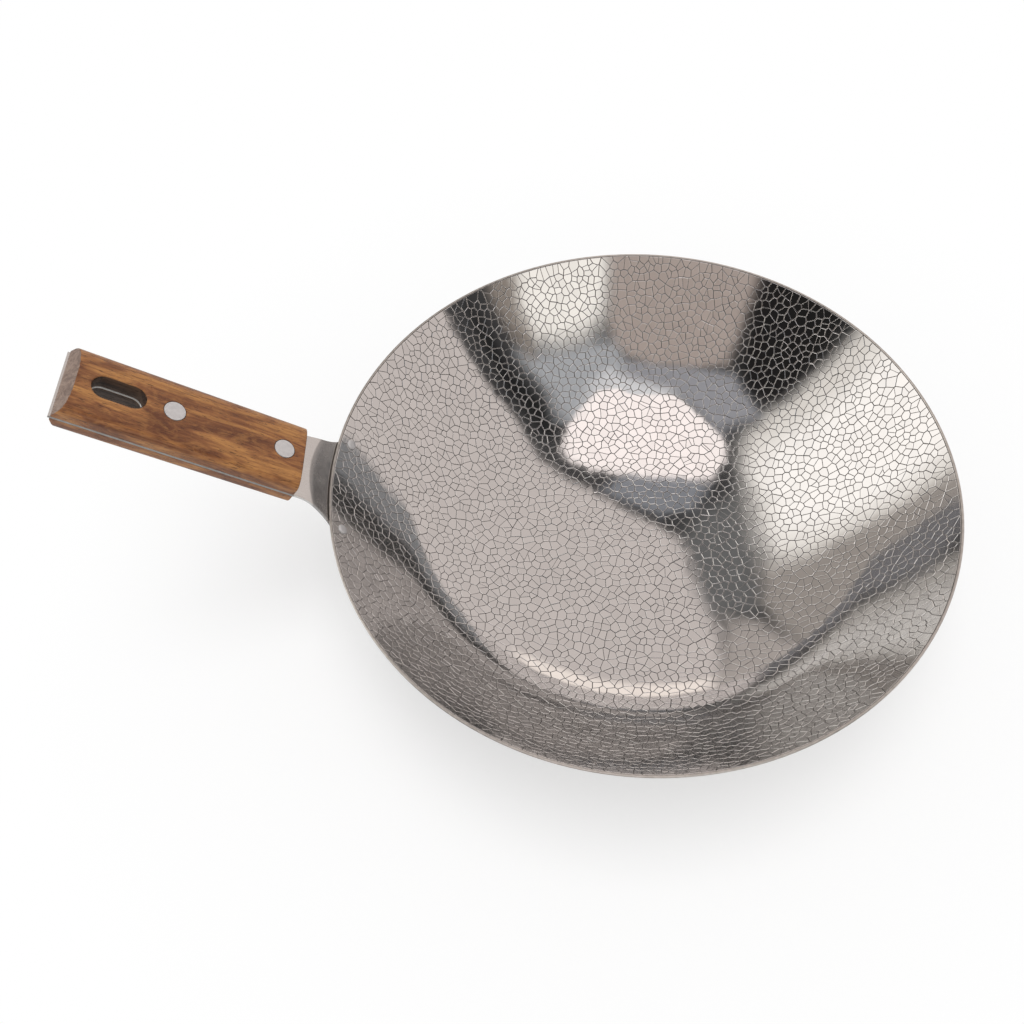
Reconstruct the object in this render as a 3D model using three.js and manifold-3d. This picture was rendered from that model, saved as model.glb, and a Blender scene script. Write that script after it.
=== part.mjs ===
// Stir fry pan: a sheet steel bowl with a flat base and a short riveted wooden handle that rises from the rim.
// Millimetres, +Z up. The origin is the centre of the base's underside, and the handle points along -X.
import * as THREE from "three";
import { mergeVertices } from "three/addons/utils/BufferGeometryUtils.js";
import Module from "manifold-3d";

// Bowl. The wall's slope grows evenly with the radius, first up to the knee and then up to the rim.
const rimDiameter = 280;
const baseDiameter = 100;
const kneeDiameter = 217;
const kneeSlope = 45;
const rimSlope = 56;
const sheet = 1.2;

// Bracket: a flange on the wall that stands up past the rim and bends into the flat tang.
const plate = 1.2;
const handleSlope = 35.5;
const bendRise = 9.6;
const flangeDrop = 13;
const flangeWidth = 66;
const flareRadius = 16.3;
const flangeCorner = 4;
const tangTail = 0.9;

// Wooden scales on the two faces of the tang.
const woodStart = 5.6;
const woodLength = 100.7;
const frontWidth = 33.4;
const buttWidth = 33;
const scaleThickness = 7.4;
const scaleSide = 1.2;
const domePower = 4.2;
const buttBevel = 5;
const buttFoot = 0.8;

// Hanging slot through both scales and the tang.
const slotLength = 21.6;
const slotWidth = 10.4;
const slotCentre = 79.5;

// Press rivets of the handle: a cap with a hollow shank above, a pin below.
const rivetHead = 9;
const rivetHeadHeight = 2;
const rivetShank = 5;
const rivetPin = 3;
const frontRivet = 9.4;
const rearRivet = 57.2;

// Rivets of the flange, set below the rim near the two ends of the flange.
const bowlRivetHead = 5;
const bowlRivetCrown = 0.9;
const bowlRivetShank = 3;
const bowlRivetDrop = 6.5;
const bowlRivetAngle = 10;

// Clearances.
const glueLine = 0.1;
const seat = 0.15;
const holeFit = 0.2;

// Steps of the round surfaces.
const turnSteps = 96;
const wallSteps = 8;
const domeSteps = 20;
const holeSteps = 24;

const rad = THREE.MathUtils.degToRad;
const wasm = await Module();
wasm.setup();

function solid(geometry) {
  geometry.deleteAttribute("normal");
  geometry.deleteAttribute("uv");
  const merged = mergeVertices(geometry, 1e-4);
  return new wasm.Manifold(
    new wasm.Mesh({
      numProp: 3,
      vertProperties: merged.attributes.position.array,
      triVerts: new Uint32Array(merged.index.array),
    }),
  );
}

function surface(body) {
  const mesh = body.getMesh();
  const geometry = new THREE.BufferGeometry();
  geometry.setAttribute("position", new THREE.BufferAttribute(mesh.vertProperties, 3));
  geometry.setIndex(new THREE.BufferAttribute(mesh.triVerts, 1));
  geometry.computeVertexNormals();
  return geometry;
}

// A body turned about +Z from [radius, height] points that run upwards on the outside.
function turned(points, steps) {
  const outline = points.map(([radius, height]) => new THREE.Vector2(radius, height));
  return new THREE.LatheGeometry(outline, steps).rotateX(Math.PI / 2);
}

function rod(diameter, low, high) {
  const radius = diameter / 2;
  return turned([[0, low], [radius, low], [radius, high], [0, high]], holeSteps);
}

function prism(shape, low, high, curveSegments) {
  const options = { depth: high - low, bevelEnabled: false, curveSegments };
  return new THREE.ExtrudeGeometry(shape, options).translate(0, 0, low);
}

function polygon(points) {
  return new THREE.Shape(points.map(([x, y]) => new THREE.Vector2(x, y)));
}

// Bowl profile: slope, height and offset points of the inner face.
const baseRadius = baseDiameter / 2;
const kneeRadius = kneeDiameter / 2;
const rimRadius = rimDiameter / 2;
const kneeAngle = rad(kneeSlope);
const rimAngle = rad(rimSlope);
const rimInner = rimRadius - sheet / Math.sin(rimAngle);

function wallAngle(radius) {
  if (radius <= kneeRadius) return (kneeAngle * (radius - baseRadius)) / (kneeRadius - baseRadius);
  return kneeAngle + ((rimAngle - kneeAngle) * (radius - kneeRadius)) / (rimInner - kneeRadius);
}

// The height gained between two radii over which the slope grows evenly from one angle to the other.
function rise(fromRadius, toRadius, fromAngle, toAngle) {
  const spread = (toRadius - fromRadius) / (toAngle - fromAngle);
  return spread * Math.log(Math.cos(fromAngle) / Math.cos(toAngle));
}

function wallHeight(radius) {
  if (radius <= baseRadius) return sheet;
  if (radius <= kneeRadius) return sheet + rise(baseRadius, radius, 0, wallAngle(radius));
  return wallHeight(kneeRadius) + rise(kneeRadius, radius, kneeAngle, wallAngle(radius));
}

function wallPoint(radius, offset) {
  const angle = wallAngle(radius);
  return [radius + offset * Math.sin(angle), wallHeight(radius) - offset * Math.cos(angle)];
}

function between(from, to, steps) {
  return Array.from({ length: steps + 1 }, (_, i) => from + ((to - from) * i) / steps);
}

const rimHeight = wallHeight(rimInner);
const wallRadii = [
  ...between(baseRadius, kneeRadius, wallSteps),
  ...between(kneeRadius, rimInner, wallSteps / 2).slice(1),
];
const bowlProfile = [
  [0, 0],
  ...wallRadii.map((radius) => wallPoint(radius, sheet)),
  [rimRadius, rimHeight],
  ...wallRadii.map((radius) => wallPoint(radius, 0)).reverse(),
  [0, sheet],
];

// Handle frame: x runs out along the tang from the bend, z is the normal of the tang, 0 at its middle.
const slope = rad(handleSlope);
const bendRadius = rimRadius + seat / Math.sin(rimAngle) + bendRise / Math.tan(rimAngle);
const handle = new THREE.Group();
handle.name = "handle";
handle.rotation.set(0, -slope, Math.PI, "ZYX");
handle.position.set(
  -bendRadius - (plate / 2) * Math.sin(slope),
  0,
  rimHeight + bendRise - (plate / 2) * Math.cos(slope),
);
handle.updateMatrix();
const woodEnd = woodStart + woodLength;
const woodLow = plate / 2 + glueLine;
const crown = woodLow + scaleThickness;

// Hanging slot, cut through all three layers of the handle.
function slotShape() {
  const half = slotWidth / 2;
  const reach = slotLength / 2 - half;
  const shape = new THREE.Shape();
  shape.absarc(reach, 0, half, -Math.PI / 2, Math.PI / 2);
  shape.absarc(-reach, 0, half, Math.PI / 2, (3 * Math.PI) / 2);
  return shape;
}

function slotCut() {
  return solid(prism(slotShape(), -2 * crown, 2 * crown, 10).translate(woodStart + slotCentre, 0, 0));
}

function handleHole(along, diameter, low, high) {
  return solid(rod(diameter, low, high).translate(woodStart + along, 0, 0));
}

// One scale, lying on z = 0 with its crown up: a domed bar that widens towards the bevelled butt.
function scaleBody() {
  const half = frontWidth / 2;
  const dome = between(0, Math.PI, domeSteps).map((turn) => {
    const across = Math.abs(Math.cos(turn)) ** (2 / domePower);
    const up = Math.abs(Math.sin(turn)) ** (2 / domePower);
    return [half * across * Math.sign(Math.cos(turn)), scaleSide + (scaleThickness - scaleSide) * up];
  });
  const bar = prism(polygon([[-half, 0], [half, 0], ...dome]), 0, woodLength, 1);
  bar.applyMatrix4(new THREE.Matrix4().makeBasis(
    new THREE.Vector3(0, 1, 0),
    new THREE.Vector3(0, 0, 1),
    new THREE.Vector3(1, 0, 0),
  ));
  const place = bar.attributes.position;
  for (let i = 0; i < place.count; i += 1) {
    const widening = 1 + ((buttWidth / frontWidth - 1) * place.getX(i)) / woodLength;
    place.setY(i, place.getY(i) * widening);
  }
  const far = woodLength + buttWidth;
  const top = 2 * scaleThickness;
  const leaning = polygon([
    [woodLength - buttBevel * ((top - buttFoot) / (scaleThickness - buttFoot)), top],
    [woodLength, buttFoot],
    [far, buttFoot],
    [far, top],
  ]);
  const bevel = prism(leaning, -buttWidth, buttWidth, 1).rotateX(Math.PI / 2);
  return solid(bar).subtract(solid(bevel));
}

function scale(side) {
  let body = solid(surface(scaleBody()).translate(woodStart, 0, woodLow)).subtract(slotCut());
  for (const along of [frontRivet, rearRivet]) {
    body = body.subtract(handleHole(along, rivetShank + holeFit, 0, 2 * crown));
    body = body.subtract(handleHole(along, rivetHead + holeFit, crown - rivetHeadHeight - seat, 2 * crown));
  }
  const geometry = surface(body);
  return side > 0 ? geometry : geometry.rotateX(Math.PI);
}

// Bracket: the flange is turned with the wall, the tang is flat, and a plan outline trims both.
function bracketBody() {
  const inner = seat + sheet;
  const outer = inner + plate;
  const lowRadius = rimInner - flangeDrop * Math.cos(rimAngle);
  const faceRadii = between(lowRadius, rimInner, 3);
  const stand = 3 * bendRise + sheet;
  const top = (offset) => {
    const [radius, height] = wallPoint(rimInner, offset);
    return [radius + stand * Math.cos(rimAngle), height + stand * Math.sin(rimAngle)];
  };
  const outerFace = [...faceRadii.map((radius) => wallPoint(radius, outer)), top(outer)];
  const innerFace = [...faceRadii.map((radius) => wallPoint(radius, inner)), top(inner)];
  const ring = solid(turned([...outerFace, ...innerFace.slice().reverse(), outerFace[0]], turnSteps));
  const inside = solid(turned([[0, innerFace[0][1]], ...innerFace, [0, top(inner)[1]]], turnSteps));

  const reach = flangeWidth;
  const slab = (end) => polygon([[-reach, -reach], [end, -reach], [end, reach], [-reach, reach]]);
  const tail = polygon([
    [0, -frontWidth / 2],
    [woodStart, -frontWidth / 2],
    [woodEnd + tangTail, -buttWidth / 2],
    [woodEnd + tangTail, buttWidth / 2],
    [woodStart, frontWidth / 2],
    [0, frontWidth / 2],
  ]);
  const layer = (shape, low, high) => solid(prism(shape, low, high, 1).applyMatrix4(handle.matrix));
  const lean = plate * Math.sin(slope);
  const lead = slab(woodStart - plate * Math.tan(slope));
  const flat = layer(lead, -plate / 2, plate / 2).add(layer(tail, -plate / 2, plate / 2));
  const above = layer(slab(reach), plate / 2, plate / 2 + 2 * reach);

  const tangFront = handle.position.x - woodStart * Math.cos(slope) + lean / 2;
  const flareStart = tangFront + lean;
  const half = flangeWidth / 2;
  const narrow = frontWidth / 2;
  const shoulder = Math.min(flareRadius, half - narrow);
  const end = -lowRadius + plate;
  const plan = new THREE.Shape();
  plan.moveTo(-2 * rimDiameter, -frontWidth);
  plan.lineTo(tangFront, -frontWidth);
  plan.lineTo(tangFront, -narrow);
  plan.lineTo(flareStart, -narrow);
  plan.absarc(flareStart, -narrow - shoulder, shoulder, Math.PI / 2, 0, true);
  plan.lineTo(flareStart + shoulder, -half);
  plan.lineTo(end - flangeCorner, -half);
  plan.absarc(end - flangeCorner, -half + flangeCorner, flangeCorner, -Math.PI / 2, 0);
  plan.absarc(end - flangeCorner, half - flangeCorner, flangeCorner, 0, Math.PI / 2);
  plan.lineTo(flareStart + shoulder, half);
  plan.absarc(flareStart, narrow + shoulder, shoulder, 0, -Math.PI / 2, true);
  plan.lineTo(tangFront, narrow);
  plan.lineTo(tangFront, frontWidth);
  plan.lineTo(-2 * rimDiameter, frontWidth);
  const outline = solid(prism(plan, 0, 2 * rimDiameter, 10));
  return ring.subtract(above).add(flat.subtract(inside)).intersect(outline);
}

// Place of a bowl rivet: on the inner face of the wall, its axis pointing outwards through wall and flange.
const rivetRadius = rimInner - bowlRivetDrop * Math.cos(rimAngle);
function bowlRivetMatrix(side) {
  const tilt = Math.PI / 2 + Math.PI / 2 - wallAngle(rivetRadius);
  const turn = Math.PI + side * rad(bowlRivetAngle);
  const spin = new THREE.Euler(0, tilt, turn, "ZYX");
  const matrix = new THREE.Matrix4().makeRotationFromEuler(spin);
  const out = rivetRadius * Math.cos(Math.PI / turnSteps);
  return matrix.setPosition(out * Math.cos(turn), out * Math.sin(turn), wallHeight(rivetRadius));
}

const grip = sheet + seat + plate;
function bowlRivet() {
  const head = bowlRivetHead / 2;
  const shank = bowlRivetShank / 2;
  const back = grip + 2 * seat;
  return turned([
    [0, -seat - bowlRivetCrown],
    [0.55 * head, -seat - 0.85 * bowlRivetCrown],
    [0.87 * head, -seat - 0.5 * bowlRivetCrown],
    [head, -seat],
    [shank, -seat],
    [shank, back],
    [head, back],
    [0.87 * head, back + 0.5 * bowlRivetCrown],
    [0.55 * head, back + 0.85 * bowlRivetCrown],
    [0, back + bowlRivetCrown],
  ], holeSteps);
}

function bowlRivetHole(side) {
  return solid(rod(bowlRivetShank + holeFit, -grip, 3 * grip).applyMatrix4(bowlRivetMatrix(side)));
}

function bowl() {
  const shell = solid(turned(bowlProfile, turnSteps));
  return surface(shell.subtract(bowlRivetHole(1)).subtract(bowlRivetHole(-1)));
}

function bracket() {
  let body = bracketBody().subtract(bowlRivetHole(1)).subtract(bowlRivetHole(-1));
  const toWorld = (cut) => solid(surface(cut).applyMatrix4(handle.matrix));
  body = body.subtract(toWorld(slotCut()));
  for (const along of [frontRivet, rearRivet]) {
    body = body.subtract(toWorld(handleHole(along, rivetShank + holeFit, -plate, plate)));
  }
  return surface(body);
}

// Press rivet: the cap's hollow shank reaches down through the tang, the pin fills its bore from below.
const shankEnd = -crown + rivetHeadHeight + 1;
const boreEnd = crown - rivetHeadHeight - 1;
const bore = rivetPin + holeFit;
function rivetCap() {
  return turned([
    [bore / 2, shankEnd],
    [rivetShank / 2, shankEnd],
    [rivetShank / 2, crown - rivetHeadHeight],
    [rivetHead / 2, crown - rivetHeadHeight],
    [rivetHead / 2, crown],
    [0, crown],
    [0, boreEnd],
    [bore / 2, boreEnd],
    [bore / 2, shankEnd],
  ], holeSteps);
}

function rivetPinBody() {
  return turned([
    [0, -crown],
    [rivetHead / 2, -crown],
    [rivetHead / 2, -crown + rivetHeadHeight],
    [rivetPin / 2, -crown + rivetHeadHeight],
    [rivetPin / 2, boreEnd - seat],
    [0, boreEnd - seat],
  ], holeSteps);
}

const steel = { color: 0x9b9691, roughness: 0.3, metalness: 1 };
const brushed = { color: 0xb9b5af, roughness: 0.38, metalness: 1 };
const wood = { color: 0x8a5a33, roughness: 0.55, metalness: 0 };
const alloy = { color: 0xc6c3c0, roughness: 0.42, metalness: 0.9 };

function piece(name, geometry, look) {
  const mesh = new THREE.Mesh(geometry, new THREE.MeshStandardMaterial(look));
  mesh.name = name;
  return mesh;
}

const pan = new THREE.Group();
pan.name = "stir_fry_pan";
pan.add(piece("bowl", bowl(), steel));
pan.add(piece("bracket", bracket(), brushed));
for (const [name, side] of [["near", 1], ["far", -1]]) {
  const rivet = piece(`bowl_rivet_${name}`, bowlRivet(), alloy);
  rivet.applyMatrix4(bowlRivetMatrix(side));
  pan.add(rivet);
}
handle.add(piece("upper_scale", scale(1), wood));
handle.add(piece("lower_scale", scale(-1), wood));
for (const [name, along] of [["front", frontRivet], ["rear", rearRivet]]) {
  const cap = piece(`rivet_${name}_cap`, rivetCap(), alloy);
  const pin = piece(`rivet_${name}_pin`, rivetPinBody(), alloy);
  cap.position.x = woodStart + along;
  pin.position.x = woodStart + along;
  handle.add(cap, pin);
}
pan.add(handle);

export default pan;
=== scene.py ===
# %% [markdown]
# # A stir fry pan
# A pressed steel pan with a crackled inside and a short wooden handle that is riveted to it.
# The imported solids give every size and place, so they are loaded first and kept as the frame.
# Each later step makes one finished piece that stands for one or more of those solids.

import math
import random

import bmesh
import bpy
import numpy as np
from mathutils import Euler, Matrix, Vector
from mathutils.geometry import delaunay_2d_cdt


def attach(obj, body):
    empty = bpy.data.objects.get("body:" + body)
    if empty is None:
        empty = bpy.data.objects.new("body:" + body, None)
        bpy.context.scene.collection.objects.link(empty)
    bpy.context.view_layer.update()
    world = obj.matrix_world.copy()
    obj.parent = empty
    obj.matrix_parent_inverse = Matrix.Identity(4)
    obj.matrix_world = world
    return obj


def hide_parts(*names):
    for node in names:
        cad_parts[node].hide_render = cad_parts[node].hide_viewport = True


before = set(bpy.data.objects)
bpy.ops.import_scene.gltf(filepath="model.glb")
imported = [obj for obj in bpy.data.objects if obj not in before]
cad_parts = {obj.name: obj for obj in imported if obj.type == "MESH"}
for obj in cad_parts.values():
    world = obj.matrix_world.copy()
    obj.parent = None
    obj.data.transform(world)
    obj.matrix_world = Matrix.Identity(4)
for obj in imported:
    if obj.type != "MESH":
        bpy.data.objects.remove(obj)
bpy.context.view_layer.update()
MM = 0.001
scene = bpy.context.scene
scene.view_settings.view_transform = "Standard"
print("solids in the frame:", sorted(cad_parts))

# %% [markdown]
# ## Camera
# The rim is a circle, so its ellipse in the picture tells where the camera stood: close to the pan, above it,
# and turned a little. A look-at constraint would centre the pan, which the picture doesn't, so the three axes
# of the camera are turned step by step (pan, tilt, roll) and written straight into its matrix.

# %% Camera from the rim's ellipse
rim_height = 63.751 * MM
view_distance = 450 * MM
view_rise = math.radians(54.52)
view_turn = math.radians(-9.2)
pan_angle, tilt_angle, roll_angle = 0.1221, -0.0537, 0.1029
film_width, picture_pixels, focal_pixels = 36, 1024, 994.64


def turned_about(vector, axis, angle):
    return Matrix.Rotation(angle, 3, axis) @ vector


forward = Vector((0, math.cos(view_rise), -math.sin(view_rise)))
stand = Vector((0, 0, rim_height)) - forward * view_distance
right = Vector((1, 0, 0))
up = right.cross(forward)
forward, right = turned_about(forward, up, pan_angle), turned_about(right, up, pan_angle)
forward, up = turned_about(forward, right, tilt_angle), turned_about(up, right, tilt_angle)
right, up = turned_about(right, forward, -roll_angle), turned_about(up, forward, -roll_angle)
axes = Matrix((right, up, -forward)).transposed().to_4x4()
lens = bpy.data.cameras.new("camera")
lens.sensor_fit = "HORIZONTAL"
lens.sensor_width = film_width
lens.lens = film_width * focal_pixels / picture_pixels
lens.clip_start = 0.01
camera = bpy.data.objects.new("camera", lens)
camera.matrix_world = Matrix.Rotation(view_turn, 4, "Z") @ Matrix.Translation(stand) @ axes
scene.collection.objects.link(camera)
scene.camera = camera
print("camera stands at", [round(v, 4) for v in camera.matrix_world.translation])

# %% [markdown]
# ## Small helpers
# Node trees are long to write by hand, so a few short helpers add a node, wire it and hand back its output.
# They work on the tree that was opened last, and serve the geometry trees and the materials alike. A kind of node
# is named without its family.

# %% Helpers for node trees
families = ("ShaderNode", "GeometryNode", "FunctionNode")
building = {}


def wire(socket, value):
    if isinstance(value, bpy.types.NodeSocket):
        building["tree"].links.new(value, socket)
    elif value is not None:
        socket.default_value = value


def feed(made, **values):
    """Sets or wires inputs by their names, with _ for a space."""
    for label, value in values.items():
        wire(made.inputs[label.replace("_", " ")], value)


def node(kind, *inputs, **settings):
    """Adds a node to the open tree. Settings have small letters; a name with a capital is an input."""
    family = next(family for family in families if hasattr(bpy.types, family + kind))
    made = building["tree"].nodes.new(family + kind)
    for name in [name for name in settings if name[0].islower()]:
        setattr(made, name, settings.pop(name))
    for socket, value in zip(made.inputs, inputs):
        wire(socket, value)
    feed(made, **settings)
    return made


def output(kind, *inputs, **settings):
    return node(kind, *inputs, **settings).outputs[0]


def calc(operation, *inputs):
    return output("Math", *inputs, operation=operation)


def vector_calc(operation, *inputs, **named_inputs):
    made = node("VectorMath", *inputs, operation=operation, **named_inputs)
    return made.outputs["Value"] if operation in ("LENGTH", "DOT_PRODUCT") else made.outputs["Vector"]


def joined(*parts):
    return output("CombineXYZ", *parts)


def parted(vector):
    return node("SeparateXYZ", vector).outputs


def ramp(value, low, high, to_low=0.0, to_high=1.0):
    return output("MapRange", value, low, high, to_low, to_high)


def open_tree(name, kind, inputs, outputs):
    """Opens a node group, whose sockets are listed as "Kind Label, Kind Label"."""
    tree = building["tree"] = bpy.data.node_groups.new(name, kind)
    names = {}
    for way, listed in (("INPUT", inputs), ("OUTPUT", outputs)):
        for item in listed.split(", "):
            socket_kind, label = item.split(" ", 1)
            made = tree.interface.new_socket(name=label, in_out=way, socket_type="NodeSocket" + socket_kind)
            names[label] = made.identifier
    start, end = tree.nodes.new("NodeGroupInput"), tree.nodes.new("NodeGroupOutput")
    return tree, start.outputs, end.inputs, names


def open_nodes(owner):
    """Opens the node tree of a material or a world."""
    owner.use_nodes = True
    building["tree"] = owner.node_tree
    return owner.node_tree.nodes


print("node helpers ready")


# %% Helpers for meshes
def mesh_of(name, points, faces):
    mesh = bpy.data.meshes.new(name)
    mesh.from_pydata([tuple(p) for p in points], [], faces)
    mesh.update()
    return mesh


def put(name, mesh):
    piece = bpy.data.objects.new(name, mesh)
    scene.collection.objects.link(piece)
    return piece


def settle(piece):
    """Turns a piece with live modifiers into a plain mesh."""
    graph = bpy.context.evaluated_depsgraph_get()
    graph.update()
    mesh = bpy.data.meshes.new_from_object(piece.evaluated_get(graph), depsgraph=graph)
    old = piece.data
    piece.modifiers.clear()
    piece.data = mesh
    mesh.name = piece.name
    bpy.data.meshes.remove(old)
    return piece


def grown(name, seed_mesh, tree, names, values):
    """Runs a geometry tree on a mesh and keeps the result as a plain piece."""
    piece = put(name, seed_mesh)
    modifier = piece.modifiers.new("tree", "NODES")
    modifier.node_group = tree
    for label, value in values.items():
        modifier[names[label]] = value
    return settle(piece)


def circle(radius, steps=48):
    turns = [2 * math.pi * i / steps for i in range(steps)]
    return [(radius * math.cos(turn), radius * math.sin(turn)) for turn in turns]


def ring_faces(rings, count, start=0):
    """Faces between closed rings of points that follow one another."""
    faces = []
    for low in range(start, start + (rings - 1) * count, count):
        for i in range(count):
            j = (i + 1) % count
            faces.append((low + i, low + j, low + count + j, low + count + i))
    return faces


def face_outwards(mesh, merge=0):
    shape = bmesh.new()
    shape.from_mesh(mesh)
    if merge:
        bmesh.ops.remove_doubles(shape, verts=shape.verts, dist=merge)
    bmesh.ops.recalc_face_normals(shape, faces=shape.faces)
    shape.to_mesh(mesh)
    shape.free()
    return mesh


def smooth(piece, angle):
    piece.data.shade_smooth()
    piece.data.set_sharp_from_angle(angle=math.radians(angle))


def finish_with(piece, *finishes):
    for finish in finishes:
        piece.data.materials.append(finish)


def triangles(piece):
    return sum(len(p.vertices) - 2 for p in piece.data.polygons)


print("mesh helpers ready")

# %% [markdown]
# ## Finishes
# A few finishes cover the pan: bright steel on the cells, worn steel on their edges, a matt etched steel in the
# grooves, dull steel on the cut edges, painted darker on the tang's edges as painted shade, satin steel on the plate
# parts with a painted dark reflection on the flange, a pale rivet alloy and an oiled brown wood, painted much darker
# in the slot as painted shade.
# Effects that several finishes share are made once as node groups: a cloudy mottle, fine brushing along one
# direction and the grain of the wood.


# %% Shared effects: cloudy mottle and brushing
def stretched(place, length, width, detail, distortion=0.0, rough=0.6):
    """Noise that is drawn out along x."""
    x, y, z = (calc("DIVIDE", part, size) for part, size in zip(parted(place), (length, width, width)))
    spread = {"Scale": 1, "Detail": detail, "Roughness": rough, "Distortion": distortion}
    return output("TexNoise", joined(x, y, z), **spread)


mottle, given, result, _ = open_tree(
    "Cloudy mottle", "ShaderNodeTree", "Vector Vector, Float Size, Float Low, Float High", "Float Value"
)
cloud_scale = calc("DIVIDE", 1.0, given["Size"])
cloud = output("TexNoise", given["Vector"], Scale=cloud_scale, Detail=4)
wire(result["Value"], ramp(cloud, 0.3, 0.7, given["Low"], given["High"]))

brushing, given, result, _ = open_tree(
    "Brushing", "ShaderNodeTree", "Vector Vector, Float Length, Float Width", "Float Height, Float Streak"
)
fine = stretched(given["Vector"], given["Length"], given["Width"], 5, rough=0.7)
wire(result["Height"], fine)
wire(result["Streak"], ramp(fine, 0.35, 0.65))
print("groups", mottle.name, "and", brushing.name)

# %% Helpers for materials
turning_radius = 0.12
rub_depth, speck_depth, dull_patch = 0.0002, 0.0001, 0.004


def open_material(name):
    made = bpy.data.materials.new(name)
    shader = open_nodes(made)["Principled BSDF"]
    print("finish", name)
    return made, shader, node("TexCoord").outputs["Object"]


def group_in(group, **values):
    return node("Group", node_tree=group, **values).outputs


def mottled(place, size, low=0.0, high=1.0):
    return group_in(mottle, Vector=place, Size=size, Low=low, High=high)["Value"]


def brushed(place, length, width):
    return group_in(brushing, Vector=place, Length=length, Width=width)


def blend_colour(factor, first, second):
    return node("Mix", data_type="RGBA", Factor=factor, A=first, B=second).outputs["Result"]


def bump(shader, height, strength, distance):
    made = node("Bump", Strength=strength, Distance=distance, Height=height)
    wire(shader.inputs["Normal"], made.outputs["Normal"])


def round_place(place):
    """Coordinates that follow the turning of the pan: metres round the axis, from the axis, and up."""
    x, y, z = parted(place)
    round_axis = calc("MULTIPLY", calc("ARCTAN2", y, x), turning_radius)
    return joined(round_axis, vector_calc("LENGTH", joined(x, y, 0.0)), z)


print("material helpers ready")

# %% Bright steel of the cells
bright_steel, shader, place = open_material("bright_steel")
tone = node("Attribute", attribute_name="tone").outputs["Fac"]
grey = blend_colour(mottled(place, 0.03), (0.515, 0.507, 0.5, 1), (0.546, 0.538, 0.53, 1))
grey = blend_colour(tone, grey, (0.57, 0.562, 0.554, 1))
feed(shader, Metallic=1, Base_Color=grey, Roughness=mottled(place, 0.012, 0.045, 0.075))
bump(shader, brushed(round_place(place), 0.02, 0.0012)["Height"], 0.03, rub_depth)


# %% Speckled steels: grooves, their edges and the cut edges
def speckled_steel(name, speck, low, high, dull, relief):
    made, shader, place = open_material(name)
    speckle = mottled(place, speck)
    grey = blend_colour(speckle, low, high)
    feed(shader, Metallic=1, Base_Color=grey, Roughness=mottled(place, dull_patch, *dull))
    bump(shader, speckle, relief, speck_depth)
    return made


etched_steel = speckled_steel(
    "etched_steel", 0.0012, (0.095, 0.092, 0.09, 1), (0.14, 0.135, 0.13, 1), (0.5, 0.68), 0.2
)
worn_steel = speckled_steel(
    "worn_steel", 0.002, (0.671, 0.663, 0.655, 1), (0.733, 0.725, 0.718, 1), (0.06, 0.12), 0.1
)
rim_edge = speckled_steel(
    "rim_edge", 0.002, (0.40, 0.38, 0.355, 1), (0.52, 0.495, 0.47, 1), (0.28, 0.4), 0.15
)
# the tang's cut edges are rougher, and painted darker as painted shade, so that their bright reflection reads dim
tang_edge = speckled_steel(
    "tang_edge", 0.002, (0.234, 0.222, 0.207, 1), (0.312, 0.296, 0.281, 1), (0.28, 0.4), 0.15
)

# %% Satin steel of the outside
satin_steel, shader, place = open_material("satin_steel")
turning = round_place(place)
rub = brushed(turning, 0.05, 0.0007)
grey = blend_colour(rub["Streak"], (0.53, 0.512, 0.494, 1), (0.6, 0.582, 0.565, 1))
grey = blend_colour(mottled(place, 0.06, 0.0, 0.6), grey, (0.556, 0.53, 0.503, 1))
feed(shader, Metallic=1, Base_Color=grey, Roughness=mottled(turning, 0.008, 0.26, 0.36))
bump(shader, rub["Height"], 0.12, rub_depth)

# %% [markdown]
# ## Place of the handle
# The tang rises from the rim at a slant, so its pieces are drawn flat in their own axes (x out along the tang,
# y across it, z square to it) and then carried into place by one matrix. The same turn, given to a Mapping node,
# lays the grain of the wood along the handle.

# %% Handle axes
handle_slope = math.radians(35.5)
handle_start = Vector((-147.005, 0, 72.863)) * MM
handle_turn = Euler((0, -handle_slope, math.pi), "XYZ")
handle_matrix = Matrix.Translation(handle_start) @ handle_turn.to_matrix().to_4x4()
to_handle = handle_matrix.inverted()


def handle_place(place):
    turn = {"Location": handle_start, "Rotation": handle_turn}
    return output("Mapping", place, vector_type="TEXTURE", **turn)


print("the tang runs along", [round(v, 4) for v in handle_turn.to_matrix() @ Vector((1, 0, 0))])

# %% [markdown]
# The tang is satin. Below the bend the flange is painted dark, a painted reflection that fades to a lighter grey
# lower down, where it lies on the wall. The border follows the bow of the bend, so it is drawn as a parabola across
# the plate.

# %% Satin steel of the bracket
bend_bow = 11
bend_start, bend_end = 0.0003, -0.0006
shade_top, shade_foot = 0.073, 0.058
bracket_steel, shader, place = open_material("bracket_steel")
lengthwise = handle_place(place)
rub = brushed(lengthwise, 0.02, 0.0005)
grey = blend_colour(rub["Streak"], (0.53, 0.519, 0.503, 1), (0.593, 0.581, 0.566, 1))
grey = blend_colour(mottled(place, 0.01, 0.0, 0.5), grey, (0.499, 0.488, 0.476, 1))
out_along, out_across, _ = parted(lengthwise)
bowed = calc("MULTIPLY_ADD", calc("MULTIPLY", out_across, out_across), bend_bow, out_along)
# painted reflection: the flange below the bend is painted dark, and lighter towards its foot
flange_shade_grey = blend_colour(rub["Streak"], (0.242, 0.238, 0.234, 1), (0.32, 0.312, 0.304, 1))
lighter_below = ramp(parted(place)[2], shade_top, shade_foot, 0.0, 0.7)
flange_shade_grey = blend_colour(lighter_below, flange_shade_grey, (0.515, 0.507, 0.499, 1))
grey = blend_colour(ramp(bowed, bend_start, bend_end), grey, flange_shade_grey)
feed(shader, Metallic=1, Base_Color=grey, Roughness=mottled(lengthwise, 0.006, 0.2, 0.3))
bump(shader, rub["Height"], 0.08, rub_depth)

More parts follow.
